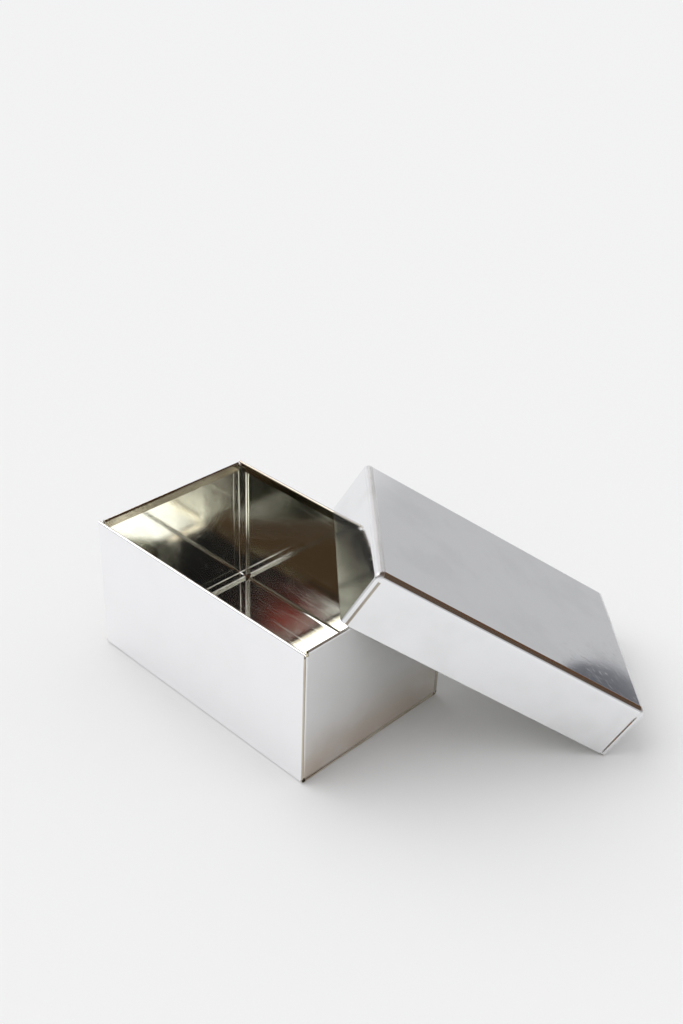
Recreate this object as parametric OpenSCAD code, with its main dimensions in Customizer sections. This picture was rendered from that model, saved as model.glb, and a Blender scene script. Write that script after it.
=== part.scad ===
// Small tinplate box: a folded body with hemmed rims and a deep lift-off lid.
// The origin is the middle of the body's flat base. +X runs along the body's length,
// +Y across it and +Z up. The lid is drawn taken off, as it lies in use: its two long
// skirts rest on the rims beside one corner of the body and its low end on the table.

/* [Body] */
// Length of the body over its end walls
body_l = 96; // [88:0.5:110]
// Width of the body over its long walls
body_w = 61.7; // [52:0.1:68]
// Height of the body to the top of its rim
body_h = 48.5; // [42:0.5:54]
// Thickness of the tinplate, the same in every sheet
sheet = 0.3; // [0.24:0.02:0.34]
// Outside radius of the bends between the floor and the long walls
floor_bend_r = 1.2; // [0.8:0.1:1.4]

/* [Rim hems] */
// Thickness of the rolled hem along the rim
hem_w = 1.2; // [0.9:0.1:1.4]
// Height of the hem's turned-down leg
hem_h = 3; // [2:0.1:4.5]
// Distance from the end plane to the start of a long wall's turned-down leg
long_hem_setback = 1.6; // [1.5:0.1:4]
// Distance from the corner to the start of an end wall's hem
end_hem_setback = 2; // [1.9:0.1:4]
// How far the end wall's top corner is cut down below the rim
corner_drop = 1.5; // [1:0.1:2.4]

/* [Lock seams] */
// Space between two layers of the folded seam
fold_gap = 0.04; // [0.03:0.01:0.08]
// Length of the seam from the end plane inward
seam_len = 3.9; // [3:0.1:6]
// How far the end wall's face lies inside the end plane
panel_recess = 0.2; // [0.1:0.05:0.4]
// Outside radius of the bend round the end wall's edge
panel_bend_r = 0.6; // [0.5:0.05:0.8]
// Distance from the hem's lower edge to the top of the seam
seam_top_gap = 0.2; // [0.1:0.05:1]
// How far the clipped top of the seam drops along its length
seam_clip = 1.2; // [0.4:0.1:3]
// Setback of the body sheet's raw ends from the end plane
raw_setback = 0.15; // [0.05:0.05:0.3]

/* [Lid] */
// Depth of the lid from its top to its lower edge
lid_h = 20.5; // [20:0.5:30]
// Free space between the closed lid's hem and the body, on each side
lid_play = 0.2; // [0.1:0.05:0.5]
// Thickness of the hem inside the lid's lower edge
lid_hem_w = 0.8; // [0.75:0.05:1]
// Height of the lid's hem
lid_hem_h = 2.6; // [1.6:0.1:4]
// Outside radius of the bends along the lid's top edges
lid_edge_r = 2; // [1.4:0.1:3]
// Outside radius of the lid's upright corners
lid_corner_r = 0.8; // [0.5:0.1:1.2]
// Length of the end skirt's flap round onto the long skirt
lid_flap = 1.4; // [1.3:0.1:3]
// Width of the groove in which the long skirt dips under the flap
lid_groove = 0.9; // [0.3:0.1:2]
// Length of the long skirt's tongue on the near side of the groove
lid_tongue = 1.4; // [0.8:0.1:3]

/* [Resting lid] */
// Turn of the lid's long axis from the body's long axis
lid_turn = 46.6; // [42:0.1:50]
// Length of the lid that reaches past the rims it rests on
lid_lap = 3.6; // [3.4:0.1:6]
// Space between the lid's edge and the rims it rests on
rest_gap = 0.3; // [0.2:0.05:0.5]
// Space between the lid's low edge and the table
table_gap = 0.05; // [0:0.01:0.1]

/* [Hidden] */
$fn = 48;

// Depth from one layer of the seam to the next, and the width of a fold over one layer
pitch = sheet + fold_gap;
fold_w = 2 * pitch + sheet;
fold_r = fold_w / 2;
// Where the straight parts of the seam layers end, measured from the end plane
layer_end = seam_len - fold_r;
// Distance of the end wall's flat face from the body's outside
panel_edge = 3 * pitch + panel_bend_r;
rim_r = hem_w / 2;
seam_bottom = panel_edge;
fold_top = body_h - corner_drop;
half_run = body_w / 2 - panel_edge;
// Far end of anything that only cuts away
beyond = 2 * hem_h;

lid_hem_r = lid_hem_w / 2;
lid_l = body_l + 2 * (lid_hem_w + lid_play);
lid_w = body_w + 2 * (lid_hem_w + lid_play);
// Where the long skirts' hems start, just past the groove
lid_hem_start = lid_flap + lid_groove;
// Where the end skirts' hems start, just past the upright corner's bend
lid_end_hem_start = lid_corner_r + lid_hem_w;
// Depths below the lid's top of the upper ends of the tongue and of the groove
tongue_top = lid_edge_r + sheet;
groove_top = tongue_top + 2 * sheet;

// Tilt at which the low end reaches the table while the long skirts lie on the rims
lid_tilt = asin((body_h + rest_gap) / (lid_l - lid_lap));
lid_x = [cos(lid_turn) * cos(lid_tilt), sin(lid_turn) * cos(lid_tilt), -sin(lid_tilt)];
lid_y = [-sin(lid_turn), cos(lid_turn), 0];
lid_z = [cos(lid_turn) * sin(lid_tilt), sin(lid_turn) * sin(lid_tilt), cos(lid_tilt)];
// One point on the centre line of each hem's round edge, from the lid's top corner
front_edge = lid_y * lid_hem_r + lid_z * (lid_hem_r - lid_h);
back_edge = lid_y * (lid_w - lid_hem_r) + lid_z * (lid_hem_r - lid_h);
low_edge = lid_x * (lid_l - lid_hem_r) + lid_z * (lid_hem_r - lid_h);
// Clear distance between the centre lines of a lid edge and a rim
reach = rim_r + lid_hem_r + rest_gap;
lid_pos_z = table_gap + lid_hem_r - low_edge[2];
rise = lid_pos_z + front_edge[2] - (body_h - rim_r);
lid_pos_x = body_l / 2 - panel_recess - rim_r - front_edge[0] + rim_shift(lid_x[0]);
lid_pos_y = body_w / 2 - rim_r - back_edge[1] + rim_shift(lid_x[1]);

// Offset across a rim at which a lid edge with this slope across it clears it by the reach
function rim_shift(across) = (reach * norm([lid_x[2], across]) - across * rise) / -lid_x[2];

// Height of the seam's clipped top at a distance from the end plane
function seam_top(u) = body_h - hem_h - seam_top_gap - seam_clip * u / seam_len;

// Sections. In each, x runs inward from an end plane and y inward from the outside.

// Ring of sheet with the given outside radius
module ring2d(r) {
    difference() {
        circle(r);
        circle(r - sheet);
    }
}

// The half of the ring that lies at negative x
module half_ring2d(r) {
    intersection() {
        ring2d(r);
        translate([-r, -r]) square([r, 2 * r]);
    }
}

// The quarter of the ring that lies at negative x and y
module quarter_ring2d(r) {
    intersection() {
        ring2d(r);
        translate([-r, -r]) square(r);
    }
}

// Bend that turns the body sheet back at the end plane
module wrap_fold2d() {
    translate([fold_r, fold_r]) half_ring2d(fold_r);
}

// Leg of the body sheet that runs back inside the seam
module wrap_return2d() {
    translate([fold_r, 2 * pitch]) square([layer_end - fold_r, sheet]);
}

// Bend round the end wall's edge
module panel_bend2d() {
    translate([panel_recess + panel_bend_r, panel_edge]) quarter_ring2d(panel_bend_r);
}

// Flange of the end wall, its turn round the body sheet's leg and the hook inside it
module panel_lock2d() {
    flange_start = panel_recess + panel_bend_r;
    hook_start = fold_r + fold_gap;
    translate([flange_start, 3 * pitch]) square([layer_end - flange_start, sheet]);
    translate([layer_end, pitch + fold_r]) mirror([1, 0]) half_ring2d(fold_r);
    translate([hook_start, pitch]) square([layer_end - hook_start, sheet]);
}

// Section of the body sheet across the box: floor, bends and long walls up to the rim's bend
module trough2d() {
    translate([floor_bend_r - body_w / 2, 0]) square([body_w - 2 * floor_bend_r, sheet]);
    for (side = [0, 1])
        mirror([side, 0]) translate([-body_w / 2, 0]) {
            translate([floor_bend_r, floor_bend_r]) quarter_ring2d(floor_bend_r);
            translate([0, floor_bend_r]) square([sheet, body_h - rim_r - floor_bend_r]);
        }
}

// Round tops of the two long rims, across the box
module long_rims2d() {
    for (side = [0, 1])
        mirror([side, 0]) translate([rim_r - body_w / 2, body_h - rim_r]) rotate(-90)
            half_ring2d(rim_r);
}

// The parts of the body sheet that reach the raw ends: below and above the folded seam
module raw_ends2d() {
    intersection() {
        trough2d();
        for (side = [0, 1])
            mirror([side, 0]) translate([-body_w / 2, 0]) {
                square(seam_bottom);
                translate([0, fold_top]) square([hem_w, corner_drop]);
            }
    }
}

// Turned-down legs of the two long hems, across the box
module hem_legs2d() {
    for (side = [0, 1])
        mirror([side, 0]) translate([hem_w - sheet - body_w / 2, body_h - hem_h])
            square([sheet, hem_h - rim_r]);
}

// Runs a section that is drawn across the box along its length
module along_box(setback) {
    translate([setback - body_l / 2, 0, 0]) rotate([90, 0, 90])
        linear_extrude(body_l - 2 * setback) children();
}

// Runs a seam section across the floor at the left end
module along_floor_seam() {
    translate([-body_l / 2, half_run, 0]) rotate([90, 0, 0])
        linear_extrude(2 * half_run) children();
}

// Runs a seam section up both long walls at the left end
module along_wall_seams(top) {
    for (side = [0, 1])
        mirror([0, side, 0]) translate([-body_l / 2, -body_w / 2, seam_bottom])
            linear_extrude(top - seam_bottom) children();
}

// Space above the seam's sloping clipped top at the left end
module above_seam() {
    end = seam_len + sheet;
    translate([-body_l / 2, body_w, 0]) rotate([90, 0, 0]) linear_extrude(2 * body_w)
        polygon([
            [0, seam_top(0)],
            [end, seam_top(end)],
            [end, body_h + beyond],
            [0, body_h + beyond]
        ]);
}

// Folded edges of the body sheet at the left end
module wrap_end() {
    along_floor_seam() {
        wrap_fold2d();
        wrap_return2d();
    }
    along_wall_seams(fold_top) wrap_fold2d();
    difference() {
        along_wall_seams(fold_top) wrap_return2d();
        above_seam();
    }
}

// Left end wall with its hem and its three locked edges
module end_wall() {
    hem_y = body_w / 2 - end_hem_setback;
    wall_y = half_run;
    // Face
    translate([panel_recess - body_l / 2, 0, 0]) rotate([90, 0, 90]) linear_extrude(sheet)
        polygon([
            [-wall_y, seam_bottom],
            [wall_y, seam_bottom],
            [wall_y, fold_top],
            [hem_y, fold_top],
            [hem_y, body_h - rim_r],
            [-hem_y, body_h - rim_r],
            [-hem_y, fold_top],
            [-wall_y, fold_top]
        ]);
    // Hem
    translate([panel_recess - body_l / 2, hem_y, body_h]) rotate([90, 0, 0])
        linear_extrude(2 * hem_y) {
            translate([rim_r, -rim_r]) rotate(-90) half_ring2d(rim_r);
            translate([hem_w - sheet, -hem_h]) square([sheet, hem_h - rim_r]);
        }
    // Locked edges
    along_floor_seam() {
        panel_bend2d();
        panel_lock2d();
    }
    along_wall_seams(fold_top) panel_bend2d();
    difference() {
        along_wall_seams(fold_top) panel_lock2d();
        above_seam();
    }
}

// Rectangle with two rounded upper corners
module rounded_top2d(width, height, r) {
    square([width, height - r]);
    translate([r, 0]) square([width - 2 * r, height]);
    for (x = [r, width - r]) translate([x, height - r]) circle(r);
}

// Rectangle with four rounded corners
module rounded_rect2d(width, depth, r) {
    translate([0, r]) square([width, depth - 2 * r]);
    translate([r, 0]) square([width - 2 * r, depth]);
    for (x = [r, width - r], y = [r, depth - r]) translate([x, y]) circle(r);
}

// Solid of the lid's outside, drawn in by the inset and reaching down to the given bottom
module lid_block(inset, bottom) {
    block_l = lid_l - 2 * inset;
    block_w = lid_w - 2 * inset;
    block_h = -inset - bottom;
    translate([inset, inset, bottom]) intersection() {
        translate([0, block_w, 0]) rotate([90, 0, 0]) linear_extrude(block_w)
            rounded_top2d(block_l, block_h, lid_edge_r - inset);
        rotate([90, 0, 90]) linear_extrude(block_l)
            rounded_top2d(block_w, block_h, lid_edge_r - inset);
        linear_extrude(block_h)
            rounded_rect2d(block_l, block_w, lid_corner_r - inset);
    }
}

// Hem inside a skirt's lower edge: x inward from the skirt's face, y up
module lid_hem2d() {
    translate([lid_hem_r, lid_hem_r - lid_h]) rotate(90) half_ring2d(lid_hem_r);
    translate([lid_hem_w - sheet, lid_hem_r - lid_h])
        square([sheet, lid_hem_h - lid_hem_r]);
}

// Repeats a shape of the front left corner at all four corners of the lid
module at_lid_corners() {
    for (end = [0, 1], side = [0, 1])
        translate([end * lid_l, side * lid_w, 0]) mirror([end, 0, 0]) mirror([0, side, 0])
            children();
}

// Runs an edge section along both long skirts, between setbacks from the ends
module along_lid_sides(setback) {
    for (side = [0, 1])
        translate([setback, side * lid_w, 0]) mirror([0, side, 0]) rotate([90, 0, 90])
            linear_extrude(lid_l - 2 * setback) children();
}

// Runs an edge section along both end skirts, between setbacks from the long skirts
module along_lid_ends(setback) {
    for (end = [0, 1])
        translate([end * lid_l, lid_w - setback, 0]) mirror([end, 0, 0]) rotate([90, 0, 0])
            linear_extrude(lid_w - 2 * setback) children();
}

// Strip of a tongue that starts at a height above the lid's edge and reaches to a far end
module tongue_strip(height, far_end) {
    translate([lid_corner_r, sheet, height - lid_h])
        cube([far_end - lid_corner_r, sheet, lid_h - tongue_top - height]);
}

// Tongue of the long skirt behind the corner flap, longer above the hem than beside it
module corner_tongue() {
    tongue_strip(lid_hem_r, lid_hem_start);
    tongue_strip(lid_hem_h + sheet, lid_hem_start + lid_tongue);
}

// Groove where the long skirt dips under the edge of the corner flap
module corner_groove() {
    translate([0, 0, -lid_h]) linear_extrude(lid_h - groove_top)
        polygon([
            [lid_flap, sheet],
            [lid_flap, -sheet],
            [lid_hem_start, -sheet],
            [lid_hem_start, 0]
        ]);
}

// The lid in its own frame: top corner at the origin, x along it, y across it
module lid_sheet() {
    skirt_bottom = lid_hem_r - lid_h;
    difference() {
        lid_block(0, skirt_bottom);
        lid_block(sheet, skirt_bottom - lid_hem_w);
        at_lid_corners() corner_groove();
    }
    at_lid_corners() corner_tongue();
    along_lid_sides(lid_hem_start) lid_hem2d();
    along_lid_ends(lid_end_hem_start) lid_hem2d();
}

module body_wrap() {
    color("gainsboro") {
        along_box(fold_r) trough2d();
        along_box(raw_setback) {
            raw_ends2d();
            long_rims2d();
        }
        along_box(long_hem_setback) hem_legs2d();
        wrap_end();
        mirror([1, 0, 0]) wrap_end();
    }
}

module end_wall_left() {
    color("silver") end_wall();
}

module end_wall_right() {
    color("silver") mirror([1, 0, 0]) end_wall();
}

module lid() {
    color("lightgray") translate([lid_pos_x, lid_pos_y, lid_pos_z])
        rotate([0, lid_tilt, lid_turn]) lid_sheet();
}

body_wrap();
end_wall_left();
end_wall_right();
lid();
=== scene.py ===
"""Looks of a small tinplate box whose lid is taken off and leans over one corner.

Each sheet is laid flat and folded up with mesh operators, in metres, in the frame
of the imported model: the middle of the box's base is the origin, +X runs along the
box, +Y across it and +Z up.
"""

import logging
import math
from dataclasses import dataclass
from enum import Enum
from typing import Callable, ClassVar

import bmesh
import bpy
from mathutils import Euler, Matrix, Vector


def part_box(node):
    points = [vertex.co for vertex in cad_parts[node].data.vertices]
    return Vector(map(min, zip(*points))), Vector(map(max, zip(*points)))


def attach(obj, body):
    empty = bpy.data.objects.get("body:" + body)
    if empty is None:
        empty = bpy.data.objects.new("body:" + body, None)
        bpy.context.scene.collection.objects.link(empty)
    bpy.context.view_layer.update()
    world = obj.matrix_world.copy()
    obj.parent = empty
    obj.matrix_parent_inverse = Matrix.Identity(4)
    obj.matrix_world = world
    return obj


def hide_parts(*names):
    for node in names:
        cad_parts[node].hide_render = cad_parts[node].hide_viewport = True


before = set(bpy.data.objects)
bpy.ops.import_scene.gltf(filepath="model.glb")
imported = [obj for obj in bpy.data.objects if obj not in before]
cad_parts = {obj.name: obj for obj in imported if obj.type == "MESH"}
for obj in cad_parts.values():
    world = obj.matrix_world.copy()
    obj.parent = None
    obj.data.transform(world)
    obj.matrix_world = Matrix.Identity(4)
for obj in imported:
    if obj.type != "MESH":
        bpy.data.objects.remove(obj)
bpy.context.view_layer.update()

LOG = logging.getLogger("tinplate_box")
MM = 0.001
QUARTER = math.pi / 2
HALF_TURN = math.pi
NEAR = 0.01 * MM
SIDES = (-1, 1)

Test = Callable[[Vector], bool]


class Facing(Enum):
    """Turn that lays a flat sheet level, or stands it across the box."""

    LEVEL = (0.0, 0.0, 0.0)
    ACROSS = (0.0, QUARTER, 0.0)


class Skin(Enum):
    """Places of the finishes in a sheet's material slots."""

    OUTSIDE = 0
    INSIDE = 1
    CUT_EDGE = 2
    # Dark finish: wear on the hems and folded ends, and painted shade with tarnish in the lid's grooves.
    WORN = 3
    RUBBED = 4


@dataclass(frozen=True)
class Gauge:
    """Sizes that every sheet shares.

    Attributes:
        sheet: Thickness of the tinplate.
        arc_steps: Segments in a quarter turn of a fold.
    """

    sheet: float = 0.3 * MM
    arc_steps: int = 8

    @property
    def half(self) -> float:
        """Half the thickness, from a sheet's middle to its face."""
        return self.sheet / 2


GAUGE = Gauge()


class FoldedSheet:
    """A sheet's middle surface on the folding bench, open in edit mode."""

    def __init__(self, name: str, centre: Vector, size: Vector, facing: Facing) -> None:
        """Lays the flat sheet.

        Args:
            name: Name of the finished piece.
            centre: Middle of the flat rectangle.
            size: Its extent along each axis; the one that it faces along is unused.
            facing: Whether it lies level or stands across the box.
        """
        bpy.ops.object.select_all(action="DESELECT")
        bpy.ops.mesh.primitive_plane_add(size=1, rotation=facing.value)
        bpy.ops.object.transform_apply(location=True, rotation=True, scale=True)
        self._open(name)
        bpy.ops.transform.resize(value=size)
        bpy.ops.transform.translate(value=centre)

    def _open(self, name: str) -> None:
        """Names the new object and opens it in edit mode, by edges."""
        self.obj = bpy.context.object
        self.obj.name = name
        self.obj.data.name = name
        bpy.ops.object.mode_set(mode="EDIT")
        bpy.ops.mesh.select_mode(type="EDGE")
        bpy.ops.mesh.select_all(action="SELECT")

    def _mesh(self) -> bmesh.types.BMesh:
        """Returns the mesh that is being edited."""
        return bmesh.from_edit_mesh(self.obj.data)

    def pick_edges(self, test: Test, rims_only: bool = True) -> None:
        """Selects edges by their place.

        Args:
            test: Whether a point belongs; an edge's ends and its middle have to pass.
            rims_only: Whether only the sheet's open edges are taken.
        """
        bpy.ops.mesh.select_mode(type="EDGE")
        bpy.ops.mesh.select_all(action="DESELECT")
        mesh = self._mesh()
        for edge in mesh.edges:
            first, second = (v.co for v in edge.verts)
            points = (first, (first + second) / 2, second)
            if all(test(p) for p in points) and (edge.is_boundary or not rims_only):
                edge.select_set(True)
        bmesh.update_edit_mesh(self.obj.data)

    def pick_corners(self, faces: Test, corners: Test) -> None:
        """Selects points by their own place and that of a face that they belong to."""
        bpy.ops.mesh.select_mode(type="VERT")
        bpy.ops.mesh.select_all(action="DESELECT")
        for face in self._mesh().faces:
            if faces(face.calc_center_median()):
                for vertex in face.verts:
                    vertex.select_set(vertex.select or corners(vertex.co))
        bmesh.update_edit_mesh(self.obj.data)

    def pick_faces(self, test: Test) -> None:
        """Selects the faces whose middles pass a test."""
        bpy.ops.mesh.select_mode(type="FACE")
        bpy.ops.mesh.select_all(action="DESELECT")
        mesh = self._mesh()
        for face in mesh.faces:
            if test(face.calc_center_median()):
                face.select_set(True)
        bmesh.update_edit_mesh(self.obj.data)

    def fold(self, about: Vector, axis: Vector, angle: float) -> None:
        """Turns the selected edges about a line, leaving a round bend behind them.

        Args:
            about: A point on the line.
            axis: The line's way; a right-handed turn about it is positive.
            angle: The turn. The spin operator counts it the other way round.
        """
        steps = round(GAUGE.arc_steps * abs(angle) / QUARTER)
        bpy.ops.mesh.spin(steps=steps, angle=-angle, center=about, axis=axis)

    def pull(self, by: Vector) -> None:
        """Extrudes the selected edges into a flat leg."""
        bpy.ops.mesh.extrude_region_move(TRANSFORM_OT_translate={"value": by})

    def scribe(self, point: Vector, normal: Vector, cut_off: bool = False) -> None:
        """Cuts what is selected along a plane.

        Args:
            point: A point of the plane.
            normal: The plane's normal.
            cut_off: Whether what lies on the normal's side is removed.
        """
        bpy.ops.mesh.bisect(plane_co=point, plane_no=normal, clear_outer=cut_off)

    def scribe_all(self, point: Vector, normal: Vector) -> None:
        """Cuts the whole sheet along a plane."""
        bpy.ops.mesh.select_all(action="SELECT")
        self.scribe(point, normal)

    def snip(self, test: Test) -> None:
        """Removes the faces whose middles pass a test."""
        self.pick_faces(test)
        bpy.ops.mesh.delete(type="FACE")

    def thicken(self, known: Test, outward: Vector) -> None:
        """Gives the folded sheet its thickness, half to each side.

        Args:
            known: Picks a face whose outer side is known.
            outward: The way that this face looks.
        """
        bpy.ops.mesh.select_all(action="SELECT")
        bpy.ops.mesh.remove_doubles(threshold=NEAR)
        bpy.ops.mesh.normals_make_consistent(inside=False)
        faces = [f for f in self._mesh().faces if known(f.calc_center_median())]
        if faces[0].normal.dot(outward) < 0:
            bpy.ops.mesh.flip_normals()
        bpy.ops.object.mode_set(mode="OBJECT")
        bpy.ops.object.modifier_add(type="SOLIDIFY")
        solidify = self.obj.modifiers[-1]
        solidify.thickness = GAUGE.sheet
        solidify.offset = 0
        solidify.use_even_offset = True
        solidify.material_offset = Skin.INSIDE.value
        solidify.material_offset_rim = Skin.CUT_EDGE.value
        bpy.ops.object.modifier_apply(modifier=solidify.name)

    def dress(self, skins: dict[Skin, bpy.types.Material]) -> None:
        """Puts the finishes on, in the order of their places, before the sheet gets its thickness."""
        for finish in skins.values():
            self.obj.data.materials.append(finish)

    def paint(self, skin: Skin, test: Test) -> None:
        """Gives the faces whose middles pass a test a finish of their own."""
        self.pick_faces(test)
        self.obj.active_material_index = skin.value
        bpy.ops.object.material_slot_assign()

    def smooth(self) -> None:
        """Shades the bends round while the flats stay flat and the cut edges crisp."""
        bpy.ops.object.shade_smooth_by_angle(angle=math.radians(40))
        bpy.ops.object.modifier_add(type="WEIGHTED_NORMAL")
        weighted = self.obj.modifiers[-1]
        weighted.keep_sharp = True
        bpy.ops.object.modifier_apply(modifier=weighted.name)

    def place(self, matrix: Matrix) -> None:
        """Moves the finished sheet and leaves its object at the origin."""
        self.obj.matrix_world = matrix
        bpy.ops.object.transform_apply(location=True, rotation=True, scale=True)

    def hand_over(self, body: str, node: str, slot: str) -> bpy.types.Object:
        """Joins the piece to the frame.

        Args:
            body: The body that it rides on.
            node: The node that it stands for.
            slot: The record's slot of its finish; not used.

        Returns:
            The finished piece.
        """
        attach(self.obj, body)
        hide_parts(node)
        LOG.info("%s: %d faces", self.obj.name, len(self.obj.data.polygons))
        return self.obj


@dataclass(frozen=True)
class BoxSizes:
    """Sizes of the body's folded sheets; the first three come from the frame."""

    length: float
    width: float
    height: float
    floor_bend: float = 1.2 * MM
    hem_width: float = 1.2 * MM
    hem_height: float = 3 * MM
    hem_lean: float = 0.12 * MM
    long_hem_setback: float = 1.6 * MM
    end_hem_setback: float = 2 * MM
    corner_drop: float = 1.5 * MM
    fold_gap: float = 0.04 * MM
    seam_length: float = 3.9 * MM
    panel_recess: float = 0.2 * MM
    panel_bend: float = 0.6 * MM
    seam_top_gap: float = 0.2 * MM
    seam_clip: float = 1.2 * MM
    raw_setback: float = 0.15 * MM

    @classmethod
    def from_frame(cls) -> "BoxSizes":
        """Reads the body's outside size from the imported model."""
        lower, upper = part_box("body_wrap")
        return cls(*(upper - lower))

    @property
    def pitch(self) -> float:
        """Depth from one layer of a seam to the next."""
        return GAUGE.sheet + self.fold_gap

    @property
    def fold_radius(self) -> float:
        """Outside radius of a fold over one layer."""
        return self.pitch + GAUGE.half

    @property
    def layer_end(self) -> float:
        """Where the seam's flat layers end, from the end plane."""
        return self.seam_length - self.fold_radius

    @property
    def panel_edge(self) -> float:
        """Distance of the end wall's flat face from the body's outside."""
        return 3 * self.pitch + self.panel_bend

    @property
    def rim_radius(self) -> float:
        """Outside radius of the rims."""
        return self.hem_width / 2

    @property
    def rim_z(self) -> float:
        """Height of the rims' centre lines."""
        return self.height - self.rim_radius

    @property
    def hem_z(self) -> float:
        """Height of the hems' lower edges."""
        return self.height - self.hem_height

    @property
    def fold_top(self) -> float:
        """Height at which the folded uprights end."""
        return self.height - self.corner_drop

    @property
    def half_run(self) -> float:
        """Half the width of the end wall's flat face."""
        return self.width / 2 - self.panel_edge

    def clip_seam_top(self, sheet: FoldedSheet, end: int, layers: Test) -> None:
        """Snips the tops of seam layers on a slope.

        Args:
            sheet: The sheet they belong to.
            end: The end of the box, -1 or 1.
            layers: Picks the layers' faces.
        """
        top = Vector((end * self.length / 2, 0, self.hem_z - self.seam_top_gap))
        sheet.pick_faces(layers)
        sheet.scribe(top, Vector((-end * self.seam_clip, 0, self.seam_length)), cut_off=True)


class BodyWrap:
    """The sheet of the floor and both long walls, with its hems and folded ends."""

    def __init__(self, sizes: BoxSizes) -> None:
        """Takes the sizes and works out where the end folds start."""
        self.sizes = sizes
        self.fold_x = sizes.length / 2 - sizes.fold_radius
        self.wall_y = sizes.width / 2 - GAUGE.half

    def _lay_floor(self) -> FoldedSheet:
        """Lays the floor, cut where its end folds stop short of the corners."""
        s = self.sizes
        size = Vector((2 * self.fold_x, s.width - 2 * s.floor_bend, 1))
        sheet = FoldedSheet("body_wrap_sheet", Vector((0, 0, GAUGE.half)), size, Facing.LEVEL)
        for side in SIDES:
            sheet.scribe_all(Vector((0, side * s.half_run, 0)), Vector((0, 1, 0)))
        return sheet

    def _raise_wall(self, sheet: FoldedSheet, side: int) -> None:
        """Folds up one long wall and rolls its hem inward."""
        s = self.sizes
        bend_y = side * (s.width / 2 - s.floor_bend)
        along = Vector((side, 0, 0))
        sheet.pick_edges(lambda p: abs(p.y - bend_y) < NEAR)
        sheet.fold(Vector((0, bend_y, s.floor_bend)), along, QUARTER)
        reached = s.floor_bend
        for height in (s.panel_edge, s.fold_top, s.rim_z):
            sheet.pull(Vector((0, 0, height - reached)))
            reached = height
        sheet.fold(Vector((0, side * (s.width / 2 - s.rim_radius), s.rim_z)), along, HALF_TURN)
        sheet.pull(Vector((0, -side * s.hem_lean, s.hem_z - s.rim_z)))

    def _trim_ends(self, sheet: FoldedSheet, end: int) -> None:
        """Sets the hem's legs back from an end and lets the raw ends out to it."""
        s = self.sizes
        leg_x = s.length / 2 - s.long_hem_setback
        leg_y = self.wall_y - s.hem_width + GAUGE.sheet
        sheet.scribe_all(Vector((end * leg_x, 0, 0)), Vector((1, 0, 0)))
        sheet.snip(
            lambda p: end * p.x > leg_x
            and abs(abs(p.y) - leg_y) < s.hem_lean
            and s.hem_z < p.z < s.rim_z
        )
        sheet.pick_edges(
            lambda p: abs(p.x - end * self.fold_x) < NEAR
            and (
                p.z > s.fold_top - NEAR
                or (p.z < s.panel_edge + NEAR and abs(p.y) > s.half_run - NEAR)
            )
        )
        sheet.pull(Vector((end * (s.fold_radius - s.raw_setback), 0, 0)))

    def _fold_end(self, sheet: FoldedSheet, end: int) -> None:
        """Turns the floor's and the walls' edges back inward at an end."""
        s = self.sizes
        back = Vector((end * (s.fold_radius - s.layer_end), 0, 0))
        x = end * self.fold_x
        sheet.pick_edges(
            lambda p: abs(p.x - x) < NEAR and p.z < s.panel_edge and abs(p.y) < s.half_run + NEAR
        )
        sheet.fold(Vector((x, 0, s.fold_radius)), Vector((0, -end, 0)), HALF_TURN)
        sheet.pull(back)
        for side in SIDES:
            sheet.pick_edges(
                lambda p: abs(p.x - x) < NEAR
                and abs(p.y - side * self.wall_y) < NEAR
                and s.panel_edge - NEAR < p.z < s.fold_top + NEAR
            )
            about = Vector((x, side * (s.width / 2 - s.fold_radius), 0))
            sheet.fold(about, Vector((0, 0, -end * side)), HALF_TURN)
            sheet.pull(back)
        leg_y = self.wall_y - 2 * s.pitch
        s.clip_seam_top(
            sheet,
            end,
            lambda p: abs(abs(p.y) - leg_y) < NEAR and end * p.x > 0 and p.z > s.panel_edge,
        )

    def build(self, skins: dict[Skin, bpy.types.Material]) -> bpy.types.Object:
        """Folds, thickens and dresses the sheet.

        Args:
            skins: The finish of each of its sides.

        Returns:
            The finished piece.
        """
        sheet = self._lay_floor()
        for side in SIDES:
            self._raise_wall(sheet, side)
        for end in SIDES:
            self._trim_ends(sheet, end)
            self._fold_end(sheet, end)
        sheet.dress(skins)
        sheet.paint(
            Skin.WORN,
            lambda p: (
                abs(p.y) < self.sizes.width / 2 - self.sizes.rim_radius
                and p.z > self.sizes.hem_z
            )
            or (abs(p.x) > self.fold_x + GAUGE.half and p.z < self.sizes.fold_top),
        )
        sheet.thicken(lambda p: p.z < GAUGE.half + NEAR, Vector((0, 0, -1)))
        sheet.smooth()
        return sheet.hand_over("tin", "body_wrap", "body_tinplate")


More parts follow.
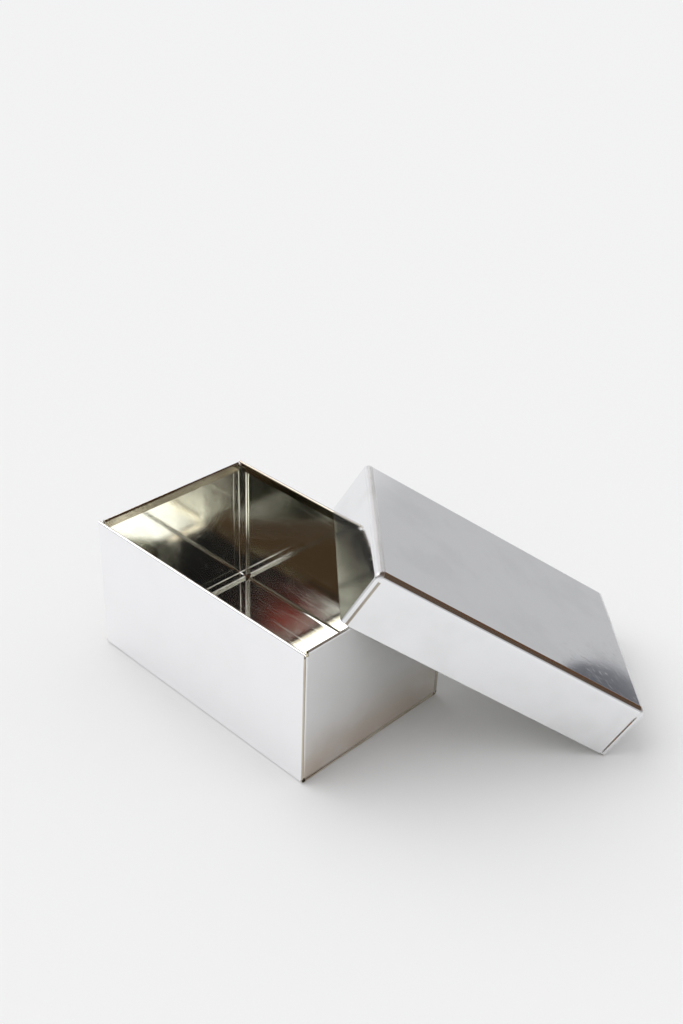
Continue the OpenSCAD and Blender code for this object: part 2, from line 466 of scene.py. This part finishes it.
class EndWall:
    """A short wall with its hem and its three edges locked into the body's folds."""

    def __init__(self, sizes: BoxSizes, name: str, end: int) -> None:
        """Takes the sizes, the node's name and the end of the box, -1 or 1."""
        self.sizes = sizes
        self.name = name
        self.end = end
        self.bend_x = end * (sizes.length / 2 - sizes.panel_recess - sizes.panel_bend)
        self.turn_x = end * (sizes.length / 2 - sizes.layer_end)

    def _lay_face(self) -> FoldedSheet:
        """Stands the flat face across the box, cut where its hem starts."""
        s = self.sizes
        face_x = self.end * (s.length / 2 - s.panel_recess - GAUGE.half)
        centre = Vector((face_x, 0, (s.panel_edge + s.fold_top) / 2))
        size = Vector((1, 2 * s.half_run, s.fold_top - s.panel_edge))
        sheet = FoldedSheet(f"{self.name}_sheet", centre, size, Facing.ACROSS)
        for side in SIDES:
            sheet.scribe_all(Vector((0, side * self._hem_y(), 0)), Vector((0, 1, 0)))
        return sheet

    def _hem_y(self) -> float:
        """Returns half the length of the hem."""
        return self.sizes.width / 2 - self.sizes.end_hem_setback

    def _roll_hem(self, sheet: FoldedSheet) -> None:
        """Raises the rim above the cut-down corners and rolls it inward."""
        s = self.sizes
        sheet.pick_edges(lambda p: p.z > s.fold_top - NEAR and abs(p.y) < self._hem_y() + NEAR)
        sheet.pull(Vector((0, 0, s.rim_z - s.fold_top)))
        rim_x = self.end * (s.length / 2 - s.panel_recess - s.rim_radius)
        sheet.fold(Vector((rim_x, 0, s.rim_z)), Vector((0, -self.end, 0)), HALF_TURN)
        sheet.pull(Vector((-self.end * s.hem_lean, 0, s.hem_z - s.rim_z)))

    def _lock(self, sheet: FoldedSheet, bend: Vector, turn: Vector, axis: Vector) -> None:
        """Flanges the selected edge, turns it round the body's fold and hooks it in.

        Args:
            sheet: The end wall's sheet.
            bend: A point on the bend's centre line.
            turn: A point on the turn's centre line.
            axis: The way about which the bend turns.
        """
        s = self.sizes
        sheet.fold(bend, axis, QUARTER)
        sheet.pull(Vector((self.turn_x - self.bend_x, 0, 0)))
        sheet.fold(turn, -axis, HALF_TURN)
        sheet.pull(Vector((self.end * (s.layer_end - s.fold_radius - s.fold_gap), 0, 0)))

    def _lock_edges(self, sheet: FoldedSheet) -> None:
        """Locks the lower edge and both uprights, and clips the uprights' tops."""
        s = self.sizes
        turn_depth = s.pitch + s.fold_radius
        sheet.pick_edges(lambda p: p.z < s.panel_edge + NEAR)
        self._lock(
            sheet,
            Vector((self.bend_x, 0, s.panel_edge)),
            Vector((self.turn_x, 0, turn_depth)),
            Vector((0, self.end, 0)),
        )
        for side in SIDES:
            sheet.pick_edges(
                lambda p: abs(p.y - side * s.half_run) < NEAR and p.z > s.panel_edge - NEAR
            )
            self._lock(
                sheet,
                Vector((self.bend_x, side * s.half_run, 0)),
                Vector((self.turn_x, side * (s.width / 2 - turn_depth), 0)),
                Vector((0, 0, self.end * side)),
            )
        flange_y = s.half_run + s.panel_bend - GAUGE.half
        s.clip_seam_top(
            sheet, self.end, lambda p: abs(p.y) > flange_y - NEAR and p.z > s.panel_edge
        )

    def build(self, skins: dict[Skin, bpy.types.Material]) -> bpy.types.Object:
        """Folds, thickens and dresses the sheet.

        Args:
            skins: The finish of each of its sides.

        Returns:
            The finished piece.
        """
        sheet = self._lay_face()
        self._roll_hem(sheet)
        self._lock_edges(sheet)
        sheet.dress(skins)
        face_x = self.sizes.length / 2 - self.sizes.panel_recess - GAUGE.sheet
        sheet.paint(
            Skin.WORN,
            lambda p: abs(p.x) < face_x + GAUGE.sheet - self.sizes.rim_radius
            and abs(p.y) < self._hem_y()
            and p.z > self.sizes.hem_z,
        )
        sheet.thicken(
            lambda p: abs(p.x) > face_x and abs(p.y) < self.sizes.half_run
            and self.sizes.panel_edge < p.z < self.sizes.fold_top,
            Vector((self.end, 0, 0)),
        )
        sheet.smooth()
        return sheet.hand_over("tin", self.name, "end_wall_tinplate")


@dataclass(frozen=True)
class LidSizes:
    """Sizes of the lid and of how it rests; the first two come from the body."""

    length: float
    width: float
    depth: float = 20.5 * MM
    hem_width: float = 0.8 * MM
    hem_height: float = 2.6 * MM
    edge_radius: float = 2 * MM
    corner_radius: float = 0.8 * MM
    flap: float = 1.4 * MM
    groove: float = 0.9 * MM
    groove_dip: float = 0.34 * MM
    groove_taper: float = 1.5 * MM
    turn: float = math.radians(46.6)
    lap: float = 3.6 * MM
    rest_gap: float = 0.3 * MM

    @classmethod
    def over(cls, box: BoxSizes, play: float = 0.2 * MM) -> "LidSizes":
        """Sizes a lid that goes over a body with some play."""
        grown = 2 * (cls.hem_width + play)
        return cls(box.length + grown, box.width + grown)

    @property
    def hem_radius(self) -> float:
        """Outside radius of the lower edge."""
        return self.hem_width / 2

    @property
    def skirt_z(self) -> float:
        """Height, below the top, at which the skirts reach their lower edge's bend."""
        return self.hem_radius - self.depth

    @property
    def hem_start(self) -> float:
        """Where the long skirts' hems start, just past the groove."""
        return self.flap + self.groove

    @property
    def end_hem_start(self) -> float:
        """Where the end skirts' hems start, past the upright corner's bend."""
        return self.corner_radius + self.hem_width

    @property
    def groove_top(self) -> float:
        """Height, below the top, of the groove's upper end."""
        return -self.edge_radius - 3 * GAUGE.sheet

    def tilt_over(self, box: BoxSizes) -> float:
        """Returns the tilt at which the low end reaches the table."""
        return math.asin((box.height + self.rest_gap) / (self.length - self.lap))


class Lid:
    """The drawn lid with lapped corners and a hem, made flat and then leaned in place."""

    GROOVE_ROWS = 3

    def __init__(self, sizes: LidSizes, box: BoxSizes) -> None:
        """Takes the lid's sizes and those of the body that it leans on."""
        self.sizes = sizes
        self.lean = Euler((0, sizes.tilt_over(box), sizes.turn))

    def _form_shell(self) -> FoldedSheet:
        """Makes the open box of the top and skirts, with its edges rounded."""
        s = self.sizes
        sheet = FoldedSheet("lid_sheet", Vector(), Vector((1, 1, 1)), Facing.LEVEL)
        bpy.ops.mesh.select_all(action="SELECT")
        height = -GAUGE.half - s.skirt_z
        size = Vector((s.length - GAUGE.sheet, s.width - GAUGE.sheet, 1))
        bpy.ops.transform.resize(value=size)
        bpy.ops.transform.translate(value=(s.length / 2, s.width / 2, -GAUGE.half))
        sheet.pick_edges(lambda p: True)
        sheet.pull(Vector((0, 0, -height)))
        self._weigh_edges(sheet)
        bpy.ops.object.mode_set(mode="OBJECT")
        bpy.ops.object.modifier_add(type="BEVEL")
        bevel = sheet.obj.modifiers[-1]
        bevel.limit_method = "WEIGHT"
        bevel.width = s.edge_radius - GAUGE.half
        bevel.segments = GAUGE.arc_steps
        bpy.ops.object.modifier_apply(modifier=bevel.name)
        bpy.ops.object.mode_set(mode="EDIT")
        return sheet

    def _weigh_edges(self, sheet: FoldedSheet) -> None:
        """Gives the top edges the full radius and the upright corners their share."""
        s = self.sizes
        share = (s.corner_radius - GAUGE.half) / (s.edge_radius - GAUGE.half)
        mesh = bmesh.from_edit_mesh(sheet.obj.data)
        weight = mesh.edges.layers.float.new("bevel_weight_edge")
        for edge in mesh.edges:
            heights = [v.co.z for v in edge.verts]
            upright = max(heights) - min(heights) > NEAR
            at_top = min(heights) > -GAUGE.half - NEAR
            edge[weight] = share if upright else float(at_top)
        bmesh.update_edit_mesh(sheet.obj.data)

    def _scribe_lines(self, sheet: FoldedSheet) -> None:
        """Marks the rows and columns along which the corners are worked."""
        s = self.sizes
        for row in range(self.GROOVE_ROWS + 1):
            inset = s.flap + s.groove * row / self.GROOVE_ROWS
            for x in (inset, s.length - inset):
                sheet.scribe_all(Vector((x, 0, 0)), Vector((1, 0, 0)))
        for y in (s.end_hem_start, s.width - s.end_hem_start):
            sheet.scribe_all(Vector((0, y, 0)), Vector((0, 1, 0)))
        for z in (s.groove_top, s.groove_top - s.groove_taper, s.skirt_z + s.groove_taper):
            sheet.scribe_all(Vector((0, 0, z)), Vector((0, 0, 1)))

    def _lap_corner(self, sheet: FoldedSheet, end: int, side: int) -> None:
        """Parts the end skirt's flap from the long skirt and dips the skirt under it.

        Args:
            sheet: The lid's sheet.
            end: The end of the lid, -1 for the raised one and 1 for the low one.
            side: The side of the lid, -1 for the front and 1 for the back.
        """
        s = self.sizes
        middle = Vector((s.length / 2, s.width / 2, 0))
        skirt_y = s.width / 2 - GAUGE.half

        def inset(p: Vector) -> float:
            """Returns a point's distance from the end plane."""
            return s.length / 2 - end * (p.x - middle.x)

        def on_skirt(p: Vector) -> bool:
            """Says whether a point lies on this corner's long skirt, below the groove's top."""
            return abs(side * (p.y - middle.y) - skirt_y) < NEAR and p.z < s.groove_top + NEAR

        sheet.pick_edges(lambda p: on_skirt(p) and abs(inset(p) - s.flap) < NEAR, rims_only=False)
        bpy.ops.mesh.edge_split(type="EDGE")
        low, high = s.skirt_z + s.groove_taper, s.groove_top - s.groove_taper
        step = s.groove / self.GROOVE_ROWS
        for row in range(self.GROOVE_ROWS):
            at = s.flap + step * row
            dip = s.groove_dip * (1 + math.cos(math.pi * row / self.GROOVE_ROWS)) / 2
            sheet.pick_corners(
                lambda p: on_skirt(p) and at < inset(p) < at + step,
                lambda p: abs(inset(p) - at) < NEAR and low - NEAR < p.z < high + NEAR,
            )
            bpy.ops.transform.translate(value=(0, -side * dip, 0))
        dipped = skirt_y - s.groove_dip
        sheet.pick_edges(
            lambda p: abs(side * (p.y - middle.y) - dipped) < NEAR and abs(inset(p) - s.flap) < NEAR
        )
        sheet.pull(Vector((end * (s.flap - s.corner_radius), 0, 0)))
        # The groove at the raised end is painted darker: painted shade with brown tarnish. At the low end it
        # gets the rubbed finish, which is only rougher.
        sheet.paint(
            Skin.WORN if end < 0 else Skin.RUBBED,
            lambda p: abs(side * (p.y - middle.y) - skirt_y) < s.groove_dip + NEAR
            and s.flap < inset(p) < s.flap + s.groove
            and s.skirt_z < p.z < s.groove_top,
        )

    def _roll_hems(self, sheet: FoldedSheet) -> None:
        """Rolls the lower edge of all four skirts inward, between the corners."""
        s = self.sizes
        up = Vector((0, 0, s.hem_height - s.hem_radius))
        for side in SIDES:
            skirt_y = s.width / 2 + side * (s.width / 2 - GAUGE.half)
            sheet.pick_edges(
                lambda p: abs(p.y - skirt_y) < NEAR
                and abs(p.z - s.skirt_z) < NEAR
                and abs(p.x - s.length / 2) < s.length / 2 - s.hem_start + NEAR
            )
            about = s.width / 2 + side * (s.width / 2 - s.hem_radius)
            sheet.fold(Vector((0, about, s.skirt_z)), Vector((-side, 0, 0)), HALF_TURN)
            sheet.pull(up)
        for end in SIDES:
            skirt_x = s.length / 2 + end * (s.length / 2 - GAUGE.half)
            sheet.pick_edges(
                lambda p: abs(p.x - skirt_x) < NEAR
                and abs(p.z - s.skirt_z) < NEAR
                and abs(p.y - s.width / 2) < s.width / 2 - s.end_hem_start + NEAR
            )
            about = s.length / 2 + end * (s.length / 2 - s.hem_radius)
            sheet.fold(Vector((about, 0, s.skirt_z)), Vector((0, end, 0)), HALF_TURN)
            sheet.pull(up)

    def _rest_in_place(self, sheet: FoldedSheet) -> None:
        """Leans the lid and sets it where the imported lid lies."""
        sheet.place(self.lean.to_matrix().to_4x4())
        lower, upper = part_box("lid")
        corners = [v.co for v in sheet.obj.data.vertices]
        own_lower = Vector([min(c[i] for c in corners) for i in range(3)])
        own_upper = Vector([max(c[i] for c in corners) for i in range(3)])
        shift = (lower + upper - own_lower - own_upper) / 2
        sheet.place(Matrix.Translation(shift))
        LOG.info("lid moved to its rests, box off by %s mm", (upper - lower - own_upper + own_lower) / MM)

    def build(self, skins: dict[Skin, bpy.types.Material]) -> bpy.types.Object:
        """Forms, thickens, dresses and leans the lid.

        Args:
            skins: The finish of each of its sides.

        Returns:
            The finished piece.
        """
        sheet = self._form_shell()
        self._scribe_lines(sheet)
        sheet.dress(skins)
        for end in SIDES:
            for side in SIDES:
                self._lap_corner(sheet, end, side)
        self._roll_hems(sheet)
        s = self.sizes
        sheet.paint(
            Skin.RUBBED,
            lambda p: abs(p.x - s.length / 2) > s.length / 2 - s.edge_radius
            and -s.edge_radius < p.z < -GAUGE.half - NEAR,
        )
        sheet.thicken(lambda p: p.z > -GAUGE.half - NEAR, Vector((0, 0, 1)))
        self._rest_in_place(sheet)
        sheet.smooth()
        return sheet.hand_over("lid", "lid", "lid_tinplate")


class Nodes:
    """A node tree that is filled in order, one node or link a call."""

    def __init__(self, tree: bpy.types.NodeTree) -> None:
        """Empties the tree."""
        self.tree = tree
        tree.nodes.clear()

    def add(self, kind: str, **values: object) -> bpy.types.Node:
        """Adds a node.

        Args:
            kind: The node's type, without the ShaderNode in front.
            **values: Settings of the node, or values and sources of its sockets by name.

        Returns:
            The new node.
        """
        node = self.tree.nodes.new(f"ShaderNode{kind}")
        for name, value in values.items():
            if hasattr(node, name):
                setattr(node, name, value)
            else:
                self.feed(node, name.replace("_", " "), value)
        return node

    def feed(self, node: bpy.types.Node, socket: str | int, value: object) -> None:
        """Sets a socket to a value, or links it to another node's output."""
        if isinstance(value, bpy.types.NodeSocket):
            self.tree.links.new(value, node.inputs[socket])
        else:
            node.inputs[socket].default_value = value

    def math(self, operation: str, *values: object) -> bpy.types.NodeSocket:
        """Works out a number from values and sources."""
        node = self.tree.nodes.new("ShaderNodeMath")
        node.operation = operation
        for index, value in enumerate(values):
            self.feed(node, index, value)
        return node.outputs[0]

    def blend(self, share: object, first: object, second: object) -> bpy.types.NodeSocket:
        """Mixes two colours by a share."""
        node = self.tree.nodes.new("ShaderNodeMix")
        node.data_type = "RGBA"
        for index, value in ((0, share), (6, first), (7, second)):
            self.feed(node, index, value)
        return node.outputs[2]

    def ramp(self, source: object, start: float, end: float, low: float, high: float
             ) -> bpy.types.NodeSocket:
        """Maps a range of a source smoothly onto another."""
        node = self.tree.nodes.new("ShaderNodeMapRange")
        node.interpolation_type = "SMOOTHSTEP"
        for index, value in enumerate((source, start, end, low, high)):
            self.feed(node, index, value)
        return node.outputs[0]


@dataclass(frozen=True)
class Tinplate:
    """Rolled tinplate: bright, faintly wavy, grained along its roll and scuffed in use.

    Attributes:
        name: Name of the material.
        colour: Colour of the clean tin.
        dulled: Colour where the tin has dulled.
        roughness: Roughness of the clean tin.
        scuffs: How strongly the scuffs show, from 0 to 1.
        metallic: Share of the tin that mirrors; the rest is a pale haze.
        painted_shade_height: Height up to which a painted brownish shade rises from the table.
        roll: Turn of the rolling grain, which runs along X at rest.
    """

    name: str
    colour: tuple[float, float, float, float]
    dulled: tuple[float, float, float, float]
    roughness: float
    scuffs: float
    metallic: float = 1.0
    painted_shade_height: float = 0.0
    roll: tuple[float, float, float] = (0.0, 0.0, 0.0)

    # Brownish colour of the painted shade at the foot.
    PAINTED_SHADE: ClassVar[tuple[float, float, float, float]] = (0.68, 0.6, 0.52, 1.0)

    def build(self) -> bpy.types.Material:
        """Builds the material."""
        material = bpy.data.materials.new(self.name)
        material.use_nodes = True
        nodes = Nodes(material.node_tree)
        place = nodes.add("TexCoord").outputs["Object"]
        rolled = nodes.add("Mapping", vector_type="TEXTURE", Vector=place, Rotation=self.roll)
        along = nodes.add("Mapping", Vector=rolled.outputs[0], Scale=(0.08, 1.0, 1.0)).outputs[0]
        grain = nodes.add("TexNoise", Vector=along, Scale=2600.0, Detail=3.0).outputs[0]
        wave = nodes.add("TexNoise", Vector=place, Scale=38.0, Detail=1.0).outputs[0]
        pits = nodes.add("TexNoise", Vector=place, Scale=1500.0, Detail=2.0).outputs[0]
        cloud = nodes.add("TexNoise", Vector=place, Scale=70.0, Detail=4.0).outputs[0]
        scratches = self._scratches(nodes, place)
        dull = nodes.math("MULTIPLY", nodes.ramp(cloud, 0.42, 0.7, 0.0, 1.0), 0.4)
        colour = nodes.blend(dull, self.colour, self.dulled)
        # Painted shade: the tin is darkened and browned from the table upwards, fading out at the given
        # height.
        if self.painted_shade_height:
            height = nodes.add("SeparateXYZ", Vector=place).outputs[2]
            painted_shade_share = nodes.math("MULTIPLY", nodes.ramp(height, 0.0, self.painted_shade_height, 1.0, 0.0),
                                 nodes.ramp(cloud, 0.3, 0.6, 0.6, 1.0))
            colour = nodes.blend(painted_shade_share, colour, self.PAINTED_SHADE)
        rough = nodes.math("ADD", nodes.ramp(cloud, 0.3, 0.75, self.roughness, self.roughness * 1.4),
                           nodes.math("MULTIPLY", scratches, 0.15 * self.scuffs))
        wavy = nodes.add("Bump", Strength=1.0, Distance=0.000014, Height=wave)
        grained = nodes.add("Bump", Strength=0.35, Distance=0.000002, Height=grain,
                            Normal=wavy.outputs[0])
        pitted = nodes.add("Bump", Strength=0.5, Distance=0.000002, Height=pits,
                           Normal=grained.outputs[0])
        scored = nodes.add("Bump", Strength=self.scuffs, Distance=0.000003, Height=scratches,
                           invert=True, Normal=pitted.outputs[0])
        shader = nodes.add("BsdfPrincipled", Metallic=self.metallic, Roughness=rough, Normal=scored.outputs[0])
        nodes.feed(shader, "Base Color", colour)
        output = nodes.add("OutputMaterial")
        nodes.feed(output, "Surface", shader.outputs[0])
        return material

    def _scratches(self, nodes: Nodes, place: bpy.types.NodeSocket) -> bpy.types.NodeSocket:
        """Returns fine straight scratches that run several ways."""
        found: bpy.types.NodeSocket | float = 0.0
        for turn in (0.4, 1.3, 2.3):
            turned = nodes.add("Mapping", Vector=place, Rotation=(turn, turn / 2, turn),
                               Scale=(0.03, 1.0, 1.0)).outputs[0]
            lines = nodes.add("TexNoise", Vector=turned, Scale=900.0, Detail=1.0).outputs[0]
            found = nodes.math("MAXIMUM", found, nodes.ramp(lines, 0.66, 0.74, 0.0, 1.0))
        return found


@dataclass(frozen=True)
class RawSteel:
    """The steel that shows where the tinplate was cut: darker, dull, with rust specks."""

    name: str = "cut_steel"
    steel: tuple[float, float, float, float] = (0.42, 0.38, 0.34, 1.0)
    rust: tuple[float, float, float, float] = (0.45, 0.2, 0.07, 1.0)

    def build(self) -> bpy.types.Material:
        """Builds the material."""
        material = bpy.data.materials.new(self.name)
        material.use_nodes = True
        nodes = Nodes(material.node_tree)
        place = nodes.add("TexCoord").outputs["Object"]
        spots = nodes.add("TexNoise", Vector=place, Scale=500.0, Detail=3.0).outputs[0]
        rusty = nodes.ramp(spots, 0.52, 0.62, 0.0, 1.0)
        burr = nodes.add("TexNoise", Vector=place, Scale=3000.0, Detail=2.0).outputs[0]
        rough = nodes.ramp(spots, 0.4, 0.65, 0.35, 0.75)
        bump = nodes.add("Bump", Strength=0.6, Distance=0.00001, Height=burr)
        shader = nodes.add("BsdfPrincipled", Roughness=rough, Normal=bump.outputs[0],
                           Metallic=nodes.math("SUBTRACT", 1.0, rusty))
        nodes.feed(shader, "Base Color", nodes.blend(rusty, self.steel, self.rust))
        output = nodes.add("OutputMaterial")
        nodes.feed(output, "Surface", shader.outputs[0])
        return material


def towards(azimuth: float, elevation: float) -> Vector:
    """Returns a direction, from degrees round from +X towards +Y and degrees upwards."""
    turn = Euler((0, -math.radians(elevation), math.radians(azimuth)))
    return turn.to_matrix() @ Vector((1, 0, 0))


@dataclass(frozen=True)
class Patch:
    """A bright or dark part of the room, soft-edged, that the metal mirrors.

    Attributes:
        azimuth: Its way round from +X towards +Y, in degrees.
        elevation: Its height above the horizon, in degrees.
        reach: Half its width and half its height, in degrees.
        fade: Width of its soft edge, in degrees.
        colour: Its colour.
        disc: Whether it is a disc, whose half width is its radius, or a rectangle.
    """

    azimuth: float
    elevation: float
    reach: tuple[float, float]
    fade: float
    colour: tuple[float, float, float, float]
    disc: bool = False

    def share(self, nodes: Nodes, way: bpy.types.NodeSocket) -> bpy.types.NodeSocket:
        """Returns how much of the patch shows in a direction.

        Args:
            nodes: The world's nodes.
            way: The direction.
        """
        turn = (0.0, -math.radians(self.elevation), math.radians(self.azimuth))
        turned = nodes.add("Mapping", vector_type="TEXTURE", Vector=way, Rotation=turn).outputs[0]
        ahead, *offsets = nodes.add("SeparateXYZ", Vector=turned).outputs
        share = nodes.math("GREATER_THAN", ahead, 0.0)
        if self.disc:
            squares = (nodes.math("MULTIPLY", offset, offset) for offset in offsets)
            offsets = [nodes.math("SQRT", nodes.math("ADD", *squares))]
        for offset, reach in zip(offsets, self.reach):
            inner, outer = (math.sin(math.radians(reach + f)) for f in (0.0, self.fade))
            along = nodes.ramp(nodes.math("ABSOLUTE", offset), inner, outer, 1.0, 0.0)
            share = nodes.math("MULTIPLY", share, along)
        return share


class Studio:
    """The plain floor, the soft light, the room around it and the camera."""

    BACKDROP = (0.871, 0.871, 0.871, 1.0)
    AMBIENT = (0.68, 0.68, 0.685, 1.0)
    ROOM_TOP = (0.085, 0.053, 0.032, 1.0)
    ROOM_LOW = (0.55, 0.55, 0.56, 1.0)
    PATCHES = (
        Patch(76, 21, (16, 10), 2, (0.1, 0.04, 0.012, 1.0)),
        Patch(121, 21, (14.5, 10.3), 1, (0.55, 0.55, 0.56, 1.0)),
        Patch(132.5, 31, (5, 4), 1, (0.55, 0.55, 0.56, 1.0)),
        Patch(152, 11, (41, 14), 4, (0.85, 0.85, 0.86, 1.0)),
        Patch(120, 31.5, (5.5, 3), 1, (1.3, 1.3, 1.28, 1.0)),
        Patch(145.2, 34, (3.2, 3), 0.4, (5.0, 5.0, 4.9, 1.0)),
        Patch(-165, 45, (19.3, 16), 1, (2.4, 2.4, 2.4, 1.0)),
        Patch(-136, 38.5, (5, 3), 0.6, (3.6, 3.6, 3.6, 1.0)),
        Patch(-54, 42, (7, 6.5), 1, (2.3, 2.3, 2.3, 1.0)),
        Patch(-40.5, 33, (4.6, 4), 1.2, (0.012, 0.012, 0.013, 1.0)),
        Patch(-44.2, 36.2, (0.9, 0.35), 0.4, (0.32, 0.03, 0.015, 1.0)),
        Patch(94, 5, (2.75, 2.75), 0.1, (0.105, 0.11, 0.13, 1.0), disc=True),
    )

    def light(self) -> None:
        """Adds the soft key light, which the metal doesn't mirror as a disc."""
        way = towards(-157, 50)
        bpy.ops.object.light_add(type="SUN", rotation=way.to_track_quat("Z", "Y").to_euler())
        sun = bpy.context.object
        sun.visible_glossy = False
        sun.data.energy = 1.28
        sun.data.angle = math.radians(70)

    def lay_floor(self) -> None:
        """Lays the pale floor."""
        bpy.ops.mesh.primitive_plane_add(size=8)
        floor = bpy.context.object
        floor.name = "floor"
        material = bpy.data.materials.new("pale_paper")
        material.use_nodes = True
        nodes = Nodes(material.node_tree)
        shader = nodes.add("BsdfDiffuse", Color=(0.9, 0.9, 0.9, 1.0))
        output = nodes.add("OutputMaterial")
        nodes.feed(output, "Surface", shader.outputs[0])
        floor.data.materials.append(material)

    def hang_room(self) -> None:
        """Makes the world: pale to the camera, even as light, and a room to the metal."""
        world = bpy.data.worlds.new("room")
        bpy.context.scene.world = world
        world.use_nodes = True
        world.cycles.sampling_method = "NONE"
        nodes = Nodes(world.node_tree)
        way = nodes.add("TexCoord").outputs["Generated"]
        height = nodes.add("SeparateXYZ", Vector=way).outputs[2]
        room = nodes.blend(nodes.ramp(height, 0.19, 0.3, 0.0, 1.0), self.ROOM_LOW, self.ROOM_TOP)
        for patch in self.PATCHES:
            room = nodes.blend(patch.share(nodes, way), room, patch.colour)
        rays = nodes.add("LightPath").outputs
        seen = nodes.blend(rays["Is Glossy Ray"], self.AMBIENT, room)
        seen = nodes.blend(rays["Is Camera Ray"], seen, self.BACKDROP)
        background = nodes.add("Background", Color=seen)
        output = nodes.add("OutputWorld")
        nodes.feed(output, "Surface", background.outputs[0])

    def set_camera(self) -> None:
        """Sets the camera at the photograph's viewing angle."""
        turn = Matrix.Rotation(math.radians(43.35), 3, "Z")
        tilt = Matrix.Rotation(math.radians(90 - 31.27), 3, "X")
        roll = Matrix.Rotation(math.radians(2.2), 3, "Z")
        bpy.ops.object.camera_add(location=(0.2465, -0.2283, 0.2656))
        camera = bpy.context.object
        camera.rotation_euler = (turn @ tilt @ roll).to_euler()
        camera.data.lens = 44.44
        camera.data.sensor_width = 36
        camera.data.clip_start = 0.01
        bpy.context.scene.camera = camera

    def build(self) -> None:
        """Sets up all of it."""
        scene = bpy.context.scene
        scene.view_settings.view_transform = "Standard"
        scene.cycles.glossy_bounces = 8
        self.light()
        self.lay_floor()
        self.hang_room()
        self.set_camera()


def main() -> None:
    """Builds the box and its setting, and reports each piece."""
    logging.basicConfig(level=logging.INFO, format="%(name)s: %(message)s")
    box_sizes = BoxSizes.from_frame()
    lid_sizes = LidSizes.over(box_sizes)
    lean = (0.0, lid_sizes.tilt_over(box_sizes), lid_sizes.turn)
    clean, dulled = (0.97, 0.97, 0.985, 1.0), (0.94, 0.94, 0.95, 1.0)
    end_clean, end_dulled = (0.89, 0.89, 0.89, 1.0), (0.82, 0.82, 0.81, 1.0)
    lid_clean, lid_dulled = (0.87, 0.875, 0.885, 1.0), (0.76, 0.765, 0.765, 1.0)
    inner, inner_dulled = (0.87, 0.87, 0.83, 1.0), (0.83, 0.82, 0.76, 1.0)
    tarnish_and_shade, grime_and_shade = (0.46, 0.42, 0.36, 1.0), (0.3, 0.24, 0.18, 1.0)
    rubbed, browned = (0.62, 0.57, 0.48, 1.0), (0.42, 0.33, 0.23, 1.0)
    cut = RawSteel().build()
    inside = Tinplate("inner_tinplate", inner, inner_dulled, 0.05, 0.4).build()
    rim = Tinplate("rim_tinplate", rubbed, browned, 0.08, 0.5).build()
    body = {
        Skin.OUTSIDE: Tinplate("outer_tinplate", clean, dulled, 0.14, 0.3, 0.86).build(),
        Skin.INSIDE: inside,
        Skin.CUT_EDGE: cut,
        Skin.WORN: rim,
    }
    end = {
        **body,
        # The end walls get painted shade that rises 26 mm from the table.
        Skin.OUTSIDE: Tinplate("end_tinplate", end_clean, end_dulled, 0.14, 0.3, 0.88, 26 * MM).build(),
    }
    lid = {
        Skin.OUTSIDE: Tinplate(
            "lid_tinplate", lid_clean, lid_dulled, 0.045, 0.4, 0.975, roll=lean
        ).build(),
        Skin.INSIDE: Tinplate("lid_inner_tinplate", inner, inner_dulled, 0.08, 0.4, roll=lean).build(),
        Skin.CUT_EDGE: cut,
        # Painted shade with brown tarnish, for the grooves at the lid's raised end.
        Skin.WORN: Tinplate("tarnish_and_shade_tinplate", tarnish_and_shade, grime_and_shade, 0.3, 0.6, 0.9, roll=lean).build(),
        Skin.RUBBED: Tinplate("rubbed_tinplate", lid_clean, lid_dulled, 0.32, 0.4, 0.95, roll=lean).build(),
    }
    BodyWrap(box_sizes).build(body)
    EndWall(box_sizes, "end_wall_left", -1).build(end)
    EndWall(box_sizes, "end_wall_right", 1).build(end)
    Lid(lid_sizes, box_sizes).build(lid)
    Studio().build()


if __name__ == "__main__":
    main()
